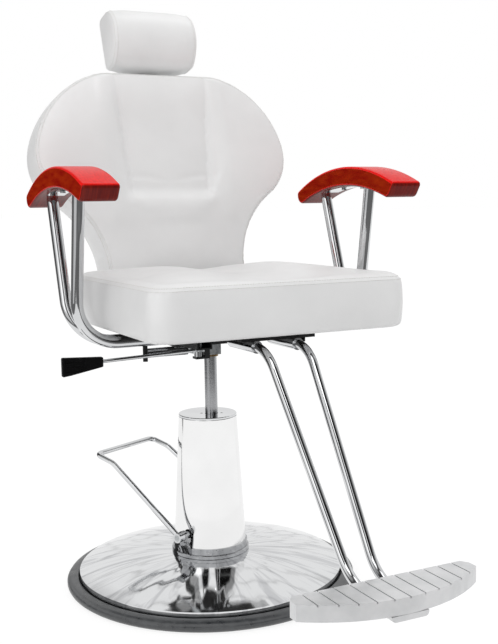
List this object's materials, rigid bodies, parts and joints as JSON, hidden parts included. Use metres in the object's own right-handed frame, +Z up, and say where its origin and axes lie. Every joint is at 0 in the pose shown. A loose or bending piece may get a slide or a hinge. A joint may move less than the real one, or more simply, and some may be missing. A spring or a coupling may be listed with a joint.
{
  "type": "barber chair",
  "caption": "Hydraulic barber chair: round floor base, foot pump pedal, swivelling seat, reclining winged back, sliding headrest, arched armrests and a tubular footrest.",
  "frame": {"origin": "on the floor, under the swivel axis", "axes": "+Z up; the sitter faces -Y; +X is the sitter's left"},
  "size_m": [0.656, 1.0395, 1.1764],
  "materials": {
    "floor_rubber": "matt",
    "ballast_iron": "rough",
    "chrome": "polished",
    "steel": "satin",
    "pump_iron": "rough",
    "tank_paint": "satin",
    "bronze": "satin",
    "frame_paint": "satin black",
    "plywood": "raw",
    "upholstery": "smooth",
    "arm_lacquer": "gloss lacquer",
    "cast_aluminium": "satin",
    "grip_plastic": "satin",
    "stud_rubber": "matt"
  },
  "bodies": {
    "base": {"rubber_ring": "floor_rubber", "ballast_plate": "ballast_iron", "base_dish": "chrome", "centre_spacer": "steel", "pump_block": "pump_iron", "base_bolts": "steel", "pump_flange": "chrome", "pump_cylinder": "steel", "oil_reservoir": "tank_paint", "gland_head": "pump_iron", "shroud": "chrome", "shroud_cap": "chrome"},
    "pedal": {"pedal_bar": "chrome", "pedal_yoke": "steel"},
    "plunger": {"pump_plunger": "steel", "return_spring": "steel"},
    "lift": {"ram": "steel", "ram_piston": "bronze", "swivel_washer": "bronze"},
    "seat": {"hub_socket": "steel", "seat_frame": "frame_paint", "seat_bolts": "steel", "seat_board": "plywood", "seat_cushion": "upholstery", "armrest_right": "arm_lacquer", "armrest_left": "arm_lacquer", "arm_strap_right": "chrome", "arm_strap_left": "chrome", "arm_screws": "steel", "arm_tube_right_front": "chrome", "arm_tube_right_rear": "chrome", "arm_tube_left_front": "chrome", "arm_tube_left_rear": "chrome", "footrest_plate": "frame_paint", "footrest_sockets": "chrome", "footrest_tube_right": "chrome", "footrest_tube_left": "chrome", "footplate": "cast_aluminium", "footplate_clamp": "cast_aluminium", "footplate_bolts": "steel", "lock_cylinder": "steel", "lever_bracket": "frame_paint", "lever_stud": "stud_rubber", "lever_spring_tube": "chrome", "hinge_pin": "steel"},
    "lever": {"lever_rod": "chrome", "lever_paddle": "grip_plastic"},
    "lock_rod": {"lock_rod": "steel"},
    "back": {"back_frame": "frame_paint", "back_board": "plywood", "back_cover": "upholstery", "back_cushion": "upholstery", "headrest_guide": "steel"},
    "headrest": {"headrest_bar": "chrome", "headrest_core": "plywood", "headrest_cushion": "upholstery"}
  },
  "joints": [
    {"name": "pedal_hinge", "type": "hinge", "parent": "base", "child": "pedal", "pos_m": [-0.0047, 0.00883, 0.108], "axis": [-0.8829, -0.4695, 0], "range_deg": [0, 32], "stiffness_Nm_per_rad": 20, "springref_deg": -17.19},
    {"name": "plunger_slide", "type": "slide", "parent": "base", "child": "plunger", "axis": [0, 0, -1], "range_m": [0, 0.0188], "deforming": ["return_spring"]},
    {"name": "lift_slide", "type": "slide", "parent": "base", "child": "lift", "axis": [0, 0, 1], "range_m": [-0.115, 0.035]},
    {"name": "swivel", "type": "hinge", "parent": "lift", "child": "seat", "pos_m": [0, 0, 0.4603], "axis": [0, 0, 1], "continuous": true},
    {"name": "recline", "type": "hinge", "parent": "seat", "child": "back", "pos_m": [0, 0.221, 0.513], "axis": [-1, 0, 0], "range_deg": [0, 40]},
    {"name": "lock_rod_slide", "type": "slide", "parent": "seat", "child": "lock_rod", "axis": [0, -1, 0], "range_m": [0, 0.0261]},
    {"name": "lever_hinge", "type": "hinge", "parent": "seat", "child": "lever", "pos_m": [-0.062, -0.084, 0.482], "axis": [0, 0, 1], "range_deg": [0, 18], "stiffness_Nm_per_rad": 2, "springref_deg": -17.19},
    {"name": "headrest_slide", "type": "slide", "parent": "back", "child": "headrest", "axis": [0, 0.2147, 0.9767], "range_m": [0, 0.09]}
  ],
  "couplings": [
    {"joint": "plunger_slide", "follows": "pedal_hinge", "m_per_rad": 0.03354},
    {"joint": "lock_rod_slide", "follows": "recline", "m_per_rad": 0.03723}
  ]
}
